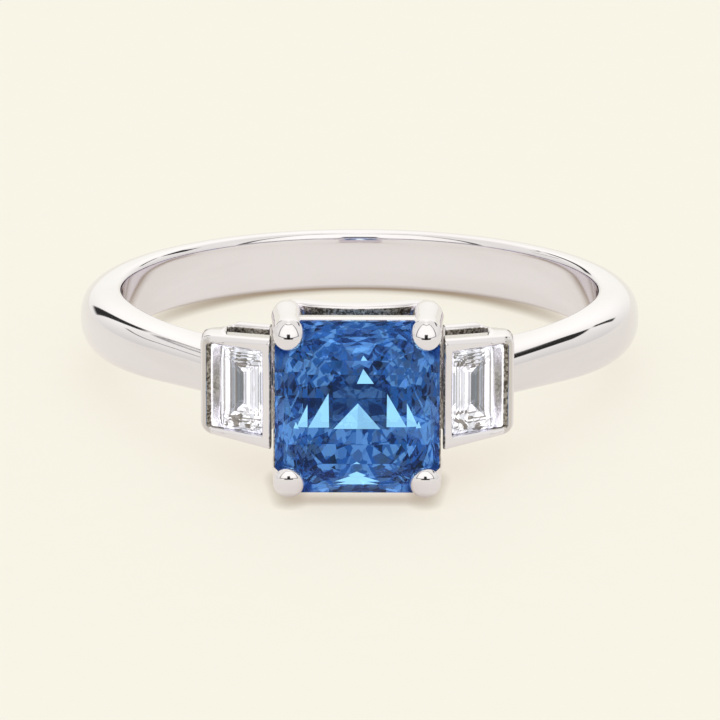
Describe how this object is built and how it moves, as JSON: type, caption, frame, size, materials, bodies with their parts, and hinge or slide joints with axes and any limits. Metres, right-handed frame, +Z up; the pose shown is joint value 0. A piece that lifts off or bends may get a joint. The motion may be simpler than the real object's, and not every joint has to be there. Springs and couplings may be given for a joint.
{
  "type": "three stone ring",
  "caption": "Finger ring with a square claw-set blue stone between rectangular bezel-set white stones on a rounded polished white metal band.",
  "frame": {"origin": "centre of the finger hole, with the ring lying on its side as it rests by itself", "axes": "+Z up from the floor, +X to the right and +Y away from the centre stone, which faces -Y; the finger hole's axis leans 5.7 degrees from +Z towards +Y"},
  "size_m": [0.02, 0.0243, 0.0064],
  "materials": {
    "polished_metal": "mirror-polished white metal, platinum",
    "sapphire": "faceted clear blue stone",
    "diamond": "step-cut clear white stone"
  },
  "bodies": {
    "root": {"shank_and_settings": "polished_metal", "centre_stone": "sapphire", "left_side_stone": "diamond", "right_side_stone": "diamond"}
  },
  "joints": []
}
